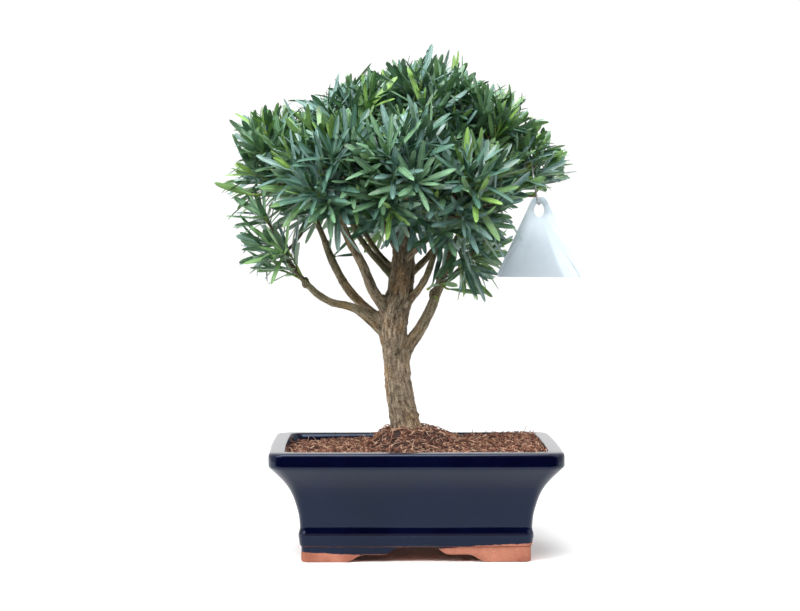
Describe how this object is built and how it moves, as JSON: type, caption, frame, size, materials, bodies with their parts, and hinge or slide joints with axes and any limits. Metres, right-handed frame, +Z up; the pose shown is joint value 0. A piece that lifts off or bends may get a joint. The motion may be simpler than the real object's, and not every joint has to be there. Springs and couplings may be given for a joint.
{
  "type": "podocarpus bonsai in a glazed pot",
  "caption": "Small evergreen tree with tapering boughs and rosettes of long narrow leaves, grown as a bonsai in a rectangular glazed pot with mulch and a blank hanging label.",
  "frame": {"origin": "middle of the whole plant's footprint on the surface that its feet stand on; the pot's own middle lies a little to +X and -Y of it", "axes": "+Z up along the tree, +X to the viewer's right along the pot's long side, -Y towards the viewer"},
  "size_m": [0.3174, 0.2676, 0.4455],
  "materials": {
    "glaze": "near-black navy blue gloss glaze, lighter where it thins on the edges",
    "terracotta": "bare reddish clay, matt",
    "mulch": "curly reddish-brown bark and husk fibres, dry and matt",
    "bark": "grey-brown bark with fine upright fissures, greener on the young boughs",
    "foliage": "leathery leaves with a soft sheen, dark green with yellow-green young ones",
    "label": "plain pale silver plate, blank, satin",
    "wire": "dull grey wire"
  },
  "bodies": {
    "plant": {"bough_back": "bark", "bough_back_left": "bark", "bough_back_right": "bark", "bough_back_top": "bark", "bough_front": "bark", "bough_front_left": "bark", "bough_front_right": "bark", "bough_left": "bark", "bough_low_left": "bark", "bough_low_right": "bark", "bough_right": "bark", "bough_top_left": "bark", "bough_top_right": "bark", "foliage_back": "foliage", "foliage_back_left": "foliage", "foliage_back_right": "foliage", "foliage_back_top": "foliage", "foliage_front": "foliage", "foliage_front_left": "foliage", "foliage_front_right": "foliage", "foliage_left": "foliage", "foliage_low_left": "foliage", "foliage_low_right": "foliage", "foliage_right": "foliage", "foliage_top": "foliage", "foliage_top_left": "foliage", "foliage_top_right": "foliage", "foot_back_left": "terracotta", "foot_back_right": "terracotta", "foot_front_left": "terracotta", "foot_front_right": "terracotta", "label_wire": "wire", "mulch": "mulch", "pot": "glaze", "trunk": "bark"},
    "label": {"label": "label"}
  },
  "joints": [
    {"name": "label_swing", "type": "hinge", "parent": "plant", "child": "label", "pos_m": [0.12266, -0.04297, 0.309], "axis": [-0.2079, -0.9781, 0], "range_deg": [-15, 15]}
  ]
}
